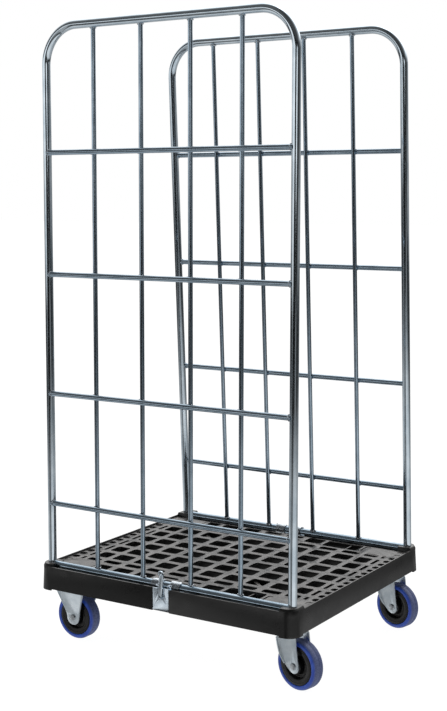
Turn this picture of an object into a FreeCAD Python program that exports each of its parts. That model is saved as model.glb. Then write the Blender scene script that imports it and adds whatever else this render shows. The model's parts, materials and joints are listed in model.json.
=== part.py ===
"""Two-sided roll cage container: a moulded plastic dolly on four casters, with a zinc-plated
tube panel plugged into each long side.

Millimetres. +Z is up and the floor is z = 0. X runs along the panels and Y across the cage.
The front panel is on the -Y side, the fixed casters are at the -X end and the swivel casters at
the +X end. Everything is built about the middle of the deck. It is then moved along X, so that
the origin lies under the middle of the whole, trailing swivel wheels included.
"""

import FreeCAD, Part
import math
import os

V = FreeCAD.Vector
UP = V(0, 0, 1)

# Whole cage
cage_height = 1650.0
deck_length = 800.0
deck_width = 710.0
deck_top = 207.0
rim_top = 212.0

# Panels. Heights in a panel are measured from the centre line of its bottom rail.
post_spacing = 752.0
rail_offset = 321.0
rail_height = 211.0
lean_degrees = {"front": 1.0, "back": 2.2}
tube_radius = 11.0
tube_wall = 1.5
bend_radius = 98.0
top_rail_height = cage_height - tube_radius - rail_height
upright_radius = 6.0
upright_wall = 1.2
upright_spacing = 149.5
upright_inset = 5.0
crossbar_radius = 7.0
crossbar_wall = 1.2
crossbar_heights = (171.0, 469.0, 787.0, 1105.0)
crossbar_outset = 6.0

# Wound collars on the bottom rail, one each side of the latch
coil_start = 10.0
coil_turns = 9
coil_wire = 3.8
coil_gap = 0.1

# Deck and skirt
skirt_bottom = 152.0
foot_bottom = 148.0
foot_reach = 44.0
skirt_wall = 4.0
skirt_draft = 3.0
corner_radius = 32.0
platform_half_width = 293.0
platform_half_length = 395.0
deck_plate = 5.0
channel_floor = 199.5
channel_plate = 5.0
web_bottom = 163.0
web_wall = 3.0
corner_block_top = 219.0
socket_wall = 5.0
socket_clearance = 0.4
socket_floor = 159.5
post_foot = socket_floor - rail_height

# Openings in the deck: one quarter of the pattern, mirrored to the other three
column_pitch = 72.3
column_width = 53.5
column_count = 4
end_column = (316.0, 41.0)
end_slit = (353.5, 10.0)
row_pitch = 65.3
row_width = 47.0
row_count = 3
short_row = (215.0, 24.0)
edge_row = (267.5, 45.0)
opening_radius = 8.0
end_hole_x = 381.0
end_hole = (21.0, 20.0)
end_hole_pitch = 32.9
end_hole_count = 8

# Latches in the middle of the long sides
latch_offset = 7.0
latch_plate_width = 49.0
latch_plate = 2.5
latch_gap = 52.0
latch_recess = 4.0
coil_window = 52.0
latch_pivot_height = 190.0
rivet_radius = 2.5
rivet_head_radius = 4.0
lever_width = 12.5
lever_thickness = 6.0
lever_eye_radius = 5.5
lever_knob_radius = 7.0
lever_top = 262.0
lever_tilt_degrees = 5.5
ear_inner_radius = 17.3

# Casters
mount_x = 328.0
mount_y = 272.0
plate_top = 155.0
plate_thickness = 3.5
plate_length = 105.0
plate_width = 85.0
bolt_x = 42.0
bolt_y = 26.0
bolt_radius = 4.0
swivel_trail = 48.0
swivel_rest_degrees = -11.6
wheel_radius = 62.5
tyre_half_width = 18.0
rim_radius = 50.0
hub_half_length = 23.0
axle_radius = 6.0
axle_clearance = 0.05
fork_wall = 3.0
fork_lip = 3.0
fork_low = 23.8
swivel_fork_high = 35.0
swivel_fork_bend = (14.0, 39.0)
fixed_fork_high = 38.8
fixed_fork_knee = 10.0
crown_top = 142.0
kingpin_radius = 6.0

# The mounting pads under the deck take the caster plates
pad_thickness = 6.0
pad_half_length = 61.0
pad_half_width = 50.0

nodes = {}


def add(name, *solids):
    """Keep one node, a single solid or a group of separate ones."""
    nodes[name] = solids[0] if len(solids) == 1 else Part.makeCompound(list(solids))


def box(low, high):
    """Box from its lowest to its highest corner."""
    size = V(*high) - V(*low)
    return Part.makeBox(size.x, size.y, size.z, V(*low))


def rod(radius, start, end):
    """Solid round bar between two points."""
    run = V(*end) - V(*start)
    return Part.makeCylinder(radius, run.Length, V(*start), run)


def tube(radius, wall, start, end):
    """Round tube between two points."""
    return rod(radius, start, end).cut(rod(radius - wall, start, end))


def prism(points, sweep):
    """Straight-sided outline, swept along a vector."""
    corners = [V(*p) for p in points]
    return Part.Face(Part.makePolygon(corners + corners[:1])).extrude(V(*sweep))


def curved_prism(runs, sweep):
    """Closed outline of straight (two-point) and curved (three-point) runs, swept along a vector."""
    edges = []
    for run in runs:
        points = [V(*p) for p in run]
        edge = Part.Arc(*points) if len(points) == 3 else Part.LineSegment(*points)
        edges.append(edge.toShape())
    return Part.Face(Part.Wire(edges)).extrude(V(*sweep))


def turned(profile, axis=V(0, 1, 0)):
    """Ring or disc turned from its (radius, height along the axis) outline."""
    across = V(1, 0, 0)
    corners = [across * radius + axis * height for radius, height in profile]
    face = Part.Face(Part.makePolygon(corners + corners[:1]))
    return face.revolve(V(0, 0, 0), axis, 360)


def hexagon(flats, start, end):
    """Hexagonal head or nut, with its flats that far apart, along Y or Z."""
    run = V(*end) - V(*start)
    first = V(1, 0, 0)
    second = run.cross(first).normalize()
    reach = flats / math.sqrt(3)
    corners = []
    for turn in range(6):
        angle = math.radians(60 * turn)
        corners.append(V(*start) + (first * math.cos(angle) + second * math.sin(angle)) * reach)
    return Part.Face(Part.makePolygon(corners + corners[:1])).extrude(run)


def rounded_outline(length, width, radius, z, middle=(0.0, 0.0)):
    """Closed level wire of a rectangle with rounded corners."""
    arcs = []
    for quarter, (sx, sy) in enumerate(((1, 1), (-1, 1), (-1, -1), (1, -1))):
        centre = V(middle[0] + sx * (length / 2 - radius), middle[1] + sy * (width / 2 - radius), z)
        points = []
        for step in (0, 45, 90):
            angle = math.radians(90 * quarter + step)
            points.append(centre + V(math.cos(angle), math.sin(angle), 0) * radius)
        arcs.append(points)
    edges = []
    for here, after in zip(arcs, arcs[1:] + arcs[:1]):
        edges.append(Part.Arc(*here).toShape())
        if (here[2] - after[0]).Length > 0.01:
            edges.append(Part.LineSegment(here[2], after[0]).toShape())
    return Part.Wire(edges)


def rounded_block(length, width, radius, bottom, top, middle=(0.0, 0.0)):
    """Upright block with rounded corners."""
    outline = rounded_outline(length, width, radius, bottom, middle)
    return Part.Face(outline).extrude(UP * (top - bottom))


# ---------------------------------------------------------------- deck

def skirt_solid(inset):
    """Body of the skirt's outline, wider at the foot, taken in all round by the inset."""
    outlines = []
    for z, draft in ((foot_bottom, 0.0), (rim_top, skirt_draft)):
        shrink = 2 * (inset + draft)
        outlines.append(rounded_outline(
            deck_length - shrink, deck_width - shrink, corner_radius - inset - draft / 2, z))
    return Part.makeLoft(outlines, True, True)


def skirt():
    """Side wall round the dolly. It stands deeper at the four corners."""
    wall = skirt_solid(0.0).cut(skirt_solid(skirt_wall))
    reach_x = deck_length / 2 - foot_reach
    reach_y = deck_width / 2 - foot_reach
    wall = wall.cut(box((-reach_x, -deck_width, 0), (reach_x, deck_width, skirt_bottom)))
    return wall.cut(box((-deck_length, -reach_y, 0), (deck_length, reach_y, skirt_bottom)))


def deck_openings():
    """(middle, size, corner radius) of each opening through the deck."""
    columns = [((n + 0.5) * column_pitch, column_width) for n in range(column_count)]
    rows = [((n + 0.5) * row_pitch, row_width) for n in range(row_count)] + [short_row]
    found = []
    for sx in (-1, 1):
        for sy in (-1, 1):
            for x, width in columns + [end_column, end_slit]:
                for y, depth in rows:
                    radius = min(opening_radius, 0.45 * min(width, depth))
                    found.append(((sx * x, sy * y), (width, depth), radius))
            for n in range(end_hole_count):
                y = (n + 0.5) * end_hole_pitch
                found.append(((sx * end_hole_x, sy * y), end_hole, 0.45 * end_hole[1]))
            # Edge row: two slots beside the latch, a whole opening, then what the caster end needs
            x = columns[0][0]
            found.append(((sx * x, sy * 251.5), (column_width, 13.0), 5.0))
            found.append(((sx * x, sy * 279.5), (column_width, 17.0), 6.0))
            x = columns[1][0]
            found.append(((sx * x, sy * edge_row[0]), (column_width, edge_row[1]), opening_radius))
        for sy in (-1, 1):
            if sx < 0:
                for x, width in columns[2:]:
                    found.append(((-x, sy * edge_row[0]), (width, edge_row[1]), opening_radius))
            else:
                found.append(((201.0, sy * 264.0), (110.0, 55.0), 10.0))
                found.append(((271.5, sy * edge_row[0]), (16.0, edge_row[1]), 6.0))
    return found


def platform():
    """Perforated load surface, a step higher than the channels that the rails lie in."""
    bottom = deck_top - deck_plate
    wires = [rounded_outline(2 * platform_half_length, 2 * platform_half_width, 6.0, bottom)]
    for middle, size, radius in deck_openings():
        wires.append(rounded_outline(size[0], size[1], radius, bottom, middle))
    return Part.makeFace(wires, "Part::FaceMakerBullseye").extrude(UP * deck_plate)


def channels():
    """Lower shelves along the long sides, with the step wall up to the platform."""
    floor_bottom = channel_floor - channel_plate
    reach_x = deck_length / 2 - skirt_draft - skirt_wall + 1.0
    reach_y = deck_width / 2 - skirt_draft - skirt_wall + 1.0
    pieces = []
    for side in (-1, 1):
        near, far = sorted((side * (platform_half_width - skirt_wall), side * reach_y))
        pieces.append(box((-reach_x, near, floor_bottom), (reach_x, far, channel_floor)))
        near, far = sorted((side * (platform_half_width - skirt_wall), side * platform_half_width))
        pieces.append(box((-reach_x, near, floor_bottom), (reach_x, far, deck_top - 1.0)))
    return pieces


def webs():
    """Upright ribs under the bars of the deck, lower under the channels."""
    top = deck_top - deck_plate + 1.0
    low_top = channel_floor - 1.0
    half = web_wall / 2
    reach_x = deck_length / 2 - skirt_wall
    reach_y = deck_width / 2 - skirt_wall
    lines_x = [n * column_pitch for n in range(column_count + 1)] + [343.0]
    lines_y = [n * row_pitch for n in range(row_count)] + [195.5, 236.0, platform_half_width - half]
    pieces = []
    for x in sorted({sign * line for line in lines_x for sign in (-1, 1)}):
        pieces.append(box((x - half, -reach_y, web_bottom), (x + half, reach_y, low_top)))
        pieces.append(box((x - half, -platform_half_width + 1, low_top),
                          (x + half, platform_half_width - 1, top)))
    for y in sorted({sign * line for line in lines_y for sign in (-1, 1)}):
        pieces.append(box((-reach_x, y - half, web_bottom), (reach_x, y + half, top)))
    return pieces


def brace(sx, sy):
    """Slanting rib from a caster pad towards the middle of the deck."""
    start = V(sx * 269.0, sy * 228.0, 0)
    end = V(sx * 148.0, sy * 132.0, 0)
    along = (end - start).normalize()
    across = V(-along.y, along.x, 0) * 4.0
    corners = (start + across, end + across, end - across, start - across)
    points = [(p.x, p.y, web_bottom) for p in corners]
    return prism(points, (0, 0, deck_top - deck_plate - 3.0 - web_bottom))


def caster_pad(sx, sy):
    """Flat pad that a caster plate bolts to, with walls up to the deck."""
    x = sx * mount_x
    y = sy * mount_y
    low = (x - pad_half_length, y - pad_half_width)
    high = (x + pad_half_length, y + pad_half_width)
    pad = box((*low, plate_top), (*high, deck_top - 1.0))
    hollow = box(
        (low[0] + skirt_wall, low[1] + skirt_wall, plate_top + pad_thickness),
        (high[0] - skirt_wall, high[1] - skirt_wall, deck_top - deck_plate),
    )
    near, far = sorted((sy * platform_half_width, sy * (platform_half_width + 60.0)))
    over_channel = box((low[0] - 1.0, near, channel_floor - 1.0), (high[0] + 1.0, far, deck_top))
    return pad.cut([hollow, over_channel])


def panel_place(side_name):
    """Where a panel's own frame stands in the cage: at its bottom rail, leaning inwards."""
    side = -1 if side_name == "front" else 1
    lean = FreeCAD.Rotation(V(1, 0, 0), side * lean_degrees[side_name])
    about = FreeCAD.Rotation(UP, 0 if side < 0 else 180)
    return FreeCAD.Placement(V(0, side * rail_offset, rail_height), lean.multiply(about))


def in_panel(shape, side_name):
    """Copy of a shape made in a panel's frame, moved to its place in the cage."""
    moved = shape.copy()
    moved.Placement = panel_place(side_name).multiply(moved.Placement)
    return moved


def socket(side_name, sign):
    """Boss of the socket that a post drops into, in its panel's frame."""
    x = sign * post_spacing / 2
    bottom = plate_top + 1.0 - rail_height
    top = corner_block_top - 2.0 - rail_height
    outer = tube_radius + socket_clearance + socket_wall
    return in_panel(rod(outer, (x, 0, bottom), (x, 0, top)), side_name)


def socket_bore(side_name, sign):
    """Blind hole of a socket."""
    x = sign * post_spacing / 2
    bottom = socket_floor - rail_height
    radius = tube_radius + socket_clearance
    return in_panel(rod(radius, (x, 0, bottom), (x, 0, 60.0)), side_name)


def corner_block(sx, sy):
    """Raised corner that closes round the top of a socket."""
    low_x, high_x = sorted((sx * 356.0, sx * deck_length / 2))
    low_y, high_y = sorted((sy * 299.0, sy * deck_width / 2))
    block = box((low_x, low_y, channel_floor - channel_plate), (high_x, high_y, corner_block_top))
    outlines = []
    for z, inset in ((rim_top - 20.0, skirt_draft), (rim_top, skirt_draft), (corner_block_top, 6.5)):
        outlines.append(rounded_outline(
            deck_length - 2 * inset, deck_width - 2 * inset, corner_radius - inset, z))
    return block.common(Part.makeLoft(outlines, True, True))


def rail_slot(side_name, sign):
    """Slot through a raised corner that the end of the bottom rail drops into."""
    half = tube_radius + socket_clearance
    low, high = sorted((sign * (post_spacing / 2 - 26.0), sign * post_spacing / 2))
    return in_panel(box((low, -half, channel_floor - rail_height), (high, half, 60.0)), side_name)


def bolt_cuts(sx, sy):
    """Four bolt holes through a caster pad, each with a round pocket for its nut."""
    cuts = []
    for x in (sx * mount_x - bolt_x, sx * mount_x + bolt_x):
        for y in (sy * mount_y - bolt_y, sy * mount_y + bolt_y):
            ceiling = (x, y, channel_floor - channel_plate - 1.0)
            cuts.append(rod(bolt_radius + 0.3, (x, y, plate_top - 1.0), ceiling))
            cuts.append(rod(9.0, (x, y, plate_top + pad_thickness), ceiling))
    return cuts


def latch_backing(side):
    """Wall behind a latch plate, with the middle of the channel open below the rail's collars."""
    middle = -side * latch_offset
    half = latch_gap / 2 + skirt_wall
    face = deck_width / 2 - latch_recess
    near, far = sorted((side * (face - skirt_wall - 1.0), side * face))
    return box((middle - half, near, skirt_bottom + 3.0), (middle + half, far, channel_floor))


def latch_cuts(side):
    """Recess in the skirt for a latch plate, its rivet hole, and the window under the collars."""
    middle = -side * latch_offset
    half = latch_gap / 2
    face = side * (deck_width / 2 - latch_recess)
    back = side * (deck_width / 2 - latch_recess - skirt_wall - 1.0)
    near, far = sorted((face, side * (deck_width / 2 + 5.0)))
    recess = box((middle - half, near, 0), (middle + half, far, rim_top + 10.0))
    near, far = sorted((back, side * (deck_width / 2 + 5.0)))
    top_gap = box((middle - half, near, channel_floor), (middle + half, far, rim_top + 10.0))
    near, far = sorted((side * (platform_half_width + 6.0), back))
    window = box((middle - coil_window, near, 188.0), (middle + coil_window, far, rim_top + 10.0))
    z = latch_pivot_height
    rivet_hole = rod(rivet_radius, (middle, back - side * 5.0, z), (middle, face + side * 5.0, z))
    return [recess, top_gap, window, rivet_hole]


def load_face_clearance():
    """Room straight up from the edges of the load surface, so that no wall leans over it."""
    reach_x = platform_half_length - skirt_draft / 2
    return box((-reach_x, -platform_half_width, deck_top), (reach_x, platform_half_width, rim_top + 9.0))


def base_deck():
    """The dolly, moulded in one piece."""
    pieces = channels() + webs()
    cuts = [load_face_clearance()]
    for sx in (-1, 1):
        for sy in (-1, 1):
            pieces.append(brace(sx, sy))
            pieces.append(caster_pad(sx, sy))
            cuts += bolt_cuts(sx, sy)
        for side_name in lean_degrees:
            pieces.append(socket(side_name, sx))
            cuts.append(socket_bore(side_name, sx))
            cuts.append(rail_slot(side_name, sx))
    body = platform().multiFuse(pieces).common(skirt_solid(skirt_wall / 2))
    outside = [skirt()]
    for side in (-1, 1):
        outside += [corner_block(sx, side) for sx in (-1, 1)]
        outside.append(latch_backing(side))
        cuts += latch_cuts(side)
    return body.multiFuse(outside).cut(cuts).removeSplitter()


# ---------------------------------------------------------------- panels

def hoop():
    """Outer tube of a panel, bent to an upside-down U. Its ends are the posts."""
    half = post_spacing / 2
    bend = bend_radius
    turn = bend * (1 - math.cos(math.radians(45)))
    top = top_rail_height
    points = {}
    for sign in (-1, 1):
        points[sign] = (
            V(sign * half, 0, post_foot),
            V(sign * half, 0, top - bend),
            V(sign * (half - turn), 0, top - turn),
            V(sign * (half - bend), 0, top),
        )
    left = points[-1]
    right = points[1]
    path = Part.Wire([
        Part.LineSegment(left[0], left[1]).toShape(),
        Part.Arc(left[1], left[2], left[3]).toShape(),
        Part.LineSegment(left[3], right[3]).toShape(),
        Part.Arc(right[3], right[2], right[1]).toShape(),
        Part.LineSegment(right[1], right[0]).toShape(),
    ])
    skins = []
    for radius in (tube_radius, tube_radius - tube_wall):
        profile = Part.Wire(Part.makeCircle(radius, left[0], UP))
        skins.append(path.makePipeShell([profile], True, True))
    return skins[0].cut(skins[1])


def posts_outline():
    """Solid bars the size of the two posts, for coping what is welded to them."""
    half = post_spacing / 2
    bars = [rod(tube_radius, (s * half, 0, post_foot), (s * half, 0, top_rail_height - bend_radius))
            for s in (-1, 1)]
    return bars


def bottom_rail():
    """Tube welded between the posts, just above the deck."""
    reach = post_spacing / 2 - 6.0
    rail = tube(tube_radius, tube_wall, (-reach, 0, 0), (reach, 0, 0))
    return rail.cut(posts_outline())


def upright_line(number, radius):
    """Solid bar along one upright, from the bottom rail to the top rail."""
    x = (number - 1.5) * upright_spacing
    lift = math.sqrt(tube_radius ** 2 - upright_inset ** 2) - 5.0
    return rod(radius, (x, upright_inset, lift), (x, upright_inset, top_rail_height - lift))


def upright(number):
    """Thin vertical tube on the load side, coped to the two rails."""
    bar = upright_line(number, upright_radius).cut(upright_line(number, upright_radius - upright_wall))
    half = post_spacing / 2
    rails = [rod(tube_radius, (-half, 0, z), (half, 0, z)) for z in (0.0, top_rail_height)]
    return max(bar.cut(rails).Solids, key=lambda solid: solid.Volume)


def crossbar(height):
    """Horizontal tube on the outside, coped to the posts and pressed onto the uprights."""
    half = post_spacing / 2
    start = (-half, -crossbar_outset, height)
    end = (half, -crossbar_outset, height)
    bar = tube(crossbar_radius, crossbar_wall, start, end)
    crossing = [upright_line(n, upright_radius) for n in range(4)]
    cut_back = bar.cut(posts_outline() + crossing)
    return max(cut_back.Solids, key=lambda solid: solid.Volume)


def rail_coil(sign):
    """Collar of wire turns round the bottom rail, on one side of the latch."""
    ring_radius = tube_radius + coil_gap + coil_wire / 2
    turns = []
    for turn in range(coil_turns):
        x = sign * (coil_start + (turn + 0.5) * coil_wire)
        turns.append(Part.makeTorus(ring_radius, coil_wire / 2, V(x, 0, 0), V(1, 0, 0)))
    length = coil_turns * coil_wire
    low, high = sorted((sign * coil_start, sign * (coil_start + length)))
    core = tube(ring_radius, coil_wire / 2 - 0.5, (low + 1.0, 0, 0), (high - 1.0, 0, 0))
    return core.multiFuse(turns)


def make_panels():
    """Both side panels."""
    for side_name in lean_degrees:
        add(side_name + "_hoop", in_panel(hoop(), side_name))
        add(side_name + "_bottom_rail", in_panel(bottom_rail(), side_name))
        for number in range(4):
            add(f"{side_name}_upright_{number + 1}", in_panel(upright(number), side_name))
        for number, height in enumerate(crossbar_heights):
            add(f"{side_name}_crossbar_{number + 1}", in_panel(crossbar(height), side_name))
        coils = []
        for sign in (-1, 1):
            coil = rail_coil(sign)
            coil.translate(V(latch_offset, 0, 0))
            coils.append(in_panel(coil, side_name))
        add(side_name + "_rail_coils", *coils)


# ---------------------------------------------------------------- latches

def at_latch(shape, side_name):
    """Move a piece made for the front, about x = 0, to its place in one of the two latches."""
    moved = shape.copy()
    moved.translate(V(latch_offset, 0, 0))
    if side_name == "back":
        moved.rotate(V(0, 0, 0), UP, 180)
    return moved


def latch_face():
    """Y of the outer face of the front latch plate."""
    return -(deck_width / 2 - skirt_draft / 2)


def latch_plate_solid():
    """Pressed plate in the gap of the skirt, with two ears that cradle the rail's collars."""
    outer = latch_face()
    inner = outer + latch_plate
    half = latch_plate_width / 2
    bottom = skirt_bottom + 3.0
    top = rim_top + 1.0
    plate = box((-half, outer, bottom + 4.0), (half, inner, top))
    lip = prism(
        ((-half, outer - 3.0, bottom), (-half, outer, bottom + 5.0), (-half, inner, bottom + 5.0),
         (-half, outer - 0.5, bottom)),
        (latch_plate_width, 0, 0))
    notch = box((-9.0, outer - 1.0, top - 7.0), (9.0, inner + 1.0, top + 1.0))
    notch_round = rod(9.0, (0, outer - 1.0, top - 7.0), (0, inner + 1.0, top - 7.0))
    plate = plate.fuse(lip).cut([notch, notch_round])
    axis = V(0, -rail_offset, rail_height)
    outer_radius = ear_inner_radius + latch_plate
    pieces = [plate]
    for sign in (-1, 1):
        low, high = sorted((sign * 12.0, sign * 24.5))
        ring = tube(outer_radius, latch_plate, (low, axis.y, axis.z), (high, axis.y, axis.z))
        quadrant = box((low, axis.y - 30.0, axis.z - 14.0), (high, axis.y - 8.0, axis.z + 8.0))
        pieces.append(ring.common(quadrant))
        pieces.append(box((low, outer + 1.0, 206.0), (high, axis.y - ear_inner_radius - 1.0, 208.5)))
    return pieces[0].multiFuse(pieces[1:])


def latch_rivet():
    """Rivet that the lever turns on, set through the plate."""
    outer = latch_face()
    z = latch_pivot_height
    front = outer - lever_thickness - 1.0
    back = -(deck_width / 2 - latch_recess - skirt_wall - 1.0)
    shank = rod(rivet_radius, (0, front, z), (0, back, z))
    head = rod(rivet_head_radius, (0, front - 2.0, z), (0, front, z))
    rim = [e for e in head.Edges if e.CenterOfMass.y < front - 1.9]
    head = head.makeFillet(1.6, rim)
    tail = rod(rivet_head_radius, (0, back, z), (0, back + 2.0, z))
    return shank.multiFuse([head, tail])


def latch_lever():
    """Turning lever: an eye at the rivet, a bar that widens upwards and a ball end."""
    outer = latch_face() - 0.3
    front = outer - lever_thickness
    z = latch_pivot_height
    top = lever_top - lever_knob_radius
    knob = Part.makeSphere(lever_knob_radius, V(0, outer - lever_knob_radius, top))
    right = ((lever_eye_radius - 0.5, z), (lever_width / 2, z + 24.0), (lever_width / 2, top))
    left = [(-x, height) for x, height in reversed(right)]
    bar = prism([(x, outer, height) for x, height in right + tuple(left)], (0, -lever_thickness, 0))
    long_edges = [e for e in bar.Edges
                  if abs(e.tangentAt(e.FirstParameter).z) > 0.9 and e.CenterOfMass.y < outer - 1.0]
    bar = bar.makeFillet(2.4, long_edges)
    eye = rod(lever_eye_radius, (0, front, z), (0, outer, z))
    hole = rod(rivet_radius + axle_clearance, (0, front - 1.0, z), (0, outer + 1.0, z))
    lever = bar.multiFuse([eye, knob]).cut(hole)
    lever.rotate(V(0, outer, z), V(0, 1, 0), lever_tilt_degrees)
    return lever


def make_latches():
    """The two latches."""
    z = latch_pivot_height
    hole = rod(rivet_radius, (0, latch_face() - 5.0, z), (0, latch_face() + 8.0, z))
    for side_name in lean_degrees:
        add(side_name + "_latch_plate", at_latch(latch_plate_solid().cut(hole), side_name))
        add(side_name + "_latch_rivet", at_latch(latch_rivet(), side_name))
        add(side_name + "_latch_lever", at_latch(latch_lever(), side_name))


# ---------------------------------------------------------------- casters

def edge_strips(view, steps):
    """Narrow strips along the edges of a side view, one for each step it is moved aside by."""
    strips = []
    for step in steps:
        moved = view.copy()
        moved.translate(V(step, 0, 0))
        strips.append(view.cut(moved))
    return strips


def swivel_side_view():
    """Side view of the swivel fork: swept back from the head, with a round end at the axle."""
    y = -70.0
    above = crown_top + 1.0
    top_left = (2.0, y, above)
    shoulder = (3.0, y, 134.5)
    heel = (35.5, y, 53.5)
    toe = (65.0, y, 58.5)
    top_right = (53.5, y, above)
    return curved_prism((
        (top_left, shoulder),
        (shoulder, (11.5, y, 98.0), heel),
        (heel, (50.0, y, 45.5), toe),
        (toe, top_right),
        (top_right, top_left),
    ), (0, 140.0, 0))


def swivel_walls(skin, top):
    """Solid the size of the swivel fork seen from above, which closes in towards the axle."""
    wide = swivel_fork_high + skin
    low = fork_low + skin
    bend_start, bend_end = swivel_fork_bend
    half = ((-60.0, wide), (bend_start, wide), (bend_end, low), (90.0, low))
    outline = [(x, y, 30.0) for x, y in half] + [(x, -y, 30.0) for x, y in reversed(half)]
    block = prism(outline, (0, 0, top - 30.0))
    edges = [e for e in block.Edges if e.CenterOfMass.z > top - 0.1 and abs(e.CenterOfMass.y) > 1.0]
    return block.makeFillet(2.0 + skin, edges)


def fixed_side_view():
    """Side view of the fixed fork: straight tapered legs with a round end at the axle."""
    y = -70.0
    z = wheel_radius
    above = plate_top - plate_thickness + 1.0
    top, knee, hip = (50.3, y, above), (23.5, y, z + 16.0), (20.5, y, z)
    top_left, knee_left, hip_left = [(-x, y, height) for x, y, height in (top, knee, hip)]
    return curved_prism((
        (top_left, knee_left),
        (knee_left, hip_left),
        (hip_left, (0.0, y, z - 20.5), hip),
        (hip, knee),
        (knee, top),
        (top, top_left),
    ), (0, 140.0, 0))


def fixed_walls(inner, outer_low, outer_high, bottom):
    """Two plates along the fixed caster, upright beside the wheel and then spreading to the plate."""
    knee = wheel_radius + fixed_fork_knee
    top = plate_top - plate_thickness + 0.5
    walls = []
    for sign in (-1, 1):
        profile = [(fork_low + inner, bottom), (fork_low + outer_low, bottom)]
        if bottom < knee:
            profile.append((fork_low + outer_low, knee))
        profile += [(fixed_fork_high + outer_high, top), (fixed_fork_high + inner, top)]
        if bottom < knee:
            profile.append((fork_low + inner, knee))
        walls.append(prism([(-60.0, sign * y, z) for y, z in profile], (120.0, 0, 0)))
    return walls


def plate_with_holes():
    """Caster plate with four holes, about the middle of its mount."""
    bottom = plate_top - plate_thickness
    plate = rounded_block(plate_length, plate_width, 8.0, bottom, plate_top)
    holes = []
    for x in (-bolt_x, bolt_x):
        for y in (-bolt_y, bolt_y):
            holes.append(rod(bolt_radius + 0.4, (x, y, bottom - 1.0), (x, y, plate_top + 1.0)))
    return plate.cut(holes)


def axle_holes(x):
    """Hole for the axle through both legs of a fork."""
    return rod(axle_radius, (x, -70, wheel_radius), (x, 70, wheel_radius))


def swivel_fork():
    """Trailing fork: a round crown under the swivel head, and two swept legs with a lip behind."""
    view = swivel_side_view()
    outside = swivel_walls(fork_wall, crown_top)
    shell = outside.cut(swivel_walls(0.0, crown_top - fork_wall)).common(view)
    lip_band = swivel_walls(fork_wall + fork_lip, crown_top).cut(swivel_walls(fork_wall - 1.0, crown_top))
    lips = lip_band.common(edge_strips(view, (3.0,))[0])
    lips = lips.common(box((-60, -70, wheel_radius + 6.0), (60, 70, crown_top - 10.0)))
    head = rod(35.0, (0, 0, crown_top - fork_wall), (0, 0, crown_top))
    hole = rod(kingpin_radius + axle_clearance, (0, 0, 120), (0, 0, 150))
    fork = shell.multiFuse([lips, head])
    return fork.cut([hole, axle_holes(swivel_trail)]).removeSplitter()


def fixed_fork():
    """Fixed fork: two tapered legs that spread up to their own mounting plate, with lipped edges."""
    view = fixed_side_view()
    pieces = [wall.common(view) for wall in fixed_walls(0.0, fork_wall, fork_wall, 30.0)]
    strips = edge_strips(view, (-3.0, 3.0))
    lip_start = wheel_radius + fixed_fork_knee
    for band in fixed_walls(fork_wall - 1.0, fork_wall, fork_wall + fork_lip, lip_start):
        pieces += [band.common(strip) for strip in strips]
    fork = plate_with_holes().multiFuse(pieces)
    return fork.cut(axle_holes(0.0)).removeSplitter()


def swivel_plate():
    """Top plate of a swivel caster with the cup that holds its balls."""
    bottom = plate_top - plate_thickness
    cup_bottom = crown_top + 0.4
    cup = turned(((33.0, cup_bottom), (36.0, cup_bottom), (37.5, bottom), (33.0, bottom)), UP)
    boss = turned(((kingpin_radius, cup_bottom + 1.0), (22.0, cup_bottom + 1.0), (23.5, bottom),
                   (kingpin_radius, bottom)), UP)
    hole = rod(kingpin_radius, (0, 0, 130), (0, 0, 170))
    return plate_with_holes().multiFuse([cup, boss]).cut(hole)


def swivel_balls():
    """Balls of a swivel head, in the ring between its cup and its boss."""
    balls = []
    radius = 4.2
    for number in range(18):
        angle = math.radians(20.0 * number)
        height = plate_top - plate_thickness - radius
        middle = V(28.4 * math.cos(angle), 28.4 * math.sin(angle), height)
        balls.append(Part.makeSphere(radius, middle))
    return balls


def kingpin():
    """Rivet that carries the fork: set flush in the plate, with a head under the crown."""
    head_top = crown_top - fork_wall - 0.3
    shank = rod(kingpin_radius, (0, 0, head_top), (0, 0, plate_top))
    head = turned(((0, head_top - 5.0), (7.5, head_top - 5.0), (11.0, head_top - 2.0), (11.0, head_top),
                   (0, head_top)), UP)
    return shank.fuse(head)


def axle_bolt(x):
    """Bolt through the fork's legs, with its low round head on the -Y side."""
    head_face = -(fork_low + fork_wall)
    z = wheel_radius
    shank = rod(axle_radius, (x, head_face, z), (x, fork_low + fork_wall + 10.5, z))
    head = turned(((0, 0), (8.5, 0), (8.5, -1.4), (7.3, -2.8), (0, -2.8)))
    head.translate(V(x, head_face, z))
    return shank.fuse(head)


def axle_nut(x):
    """Locking nut on the +Y end of the axle bolt."""
    face = fork_low + fork_wall
    z = wheel_radius
    nut = hexagon(18.0, (x, face, z), (x, face + 8.0, z))
    return nut.cut(rod(axle_radius, (x, face - 1, z), (x, face + 12, z)))


def wheel_rim():
    """Black nylon wheel centre: a broad rim, a dished web and a long hub."""
    half = tyre_half_width
    hub = hub_half_length
    side = [
        (axle_radius + 8.0, hub), (20.0, hub), (22.0, hub - 2.0), (23.5, 8.0), (30.0, 5.0),
        (35.0, 7.0), (38.0, half - 2.5), (40.0, half - 1.0), (rim_radius - 1.5, half - 1.0),
        (rim_radius, half - 2.5),
    ]
    profile = side + [(radius, -y) for radius, y in reversed(side)]
    rim = turned(profile)
    rim.translate(V(0, 0, wheel_radius))
    return rim


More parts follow.
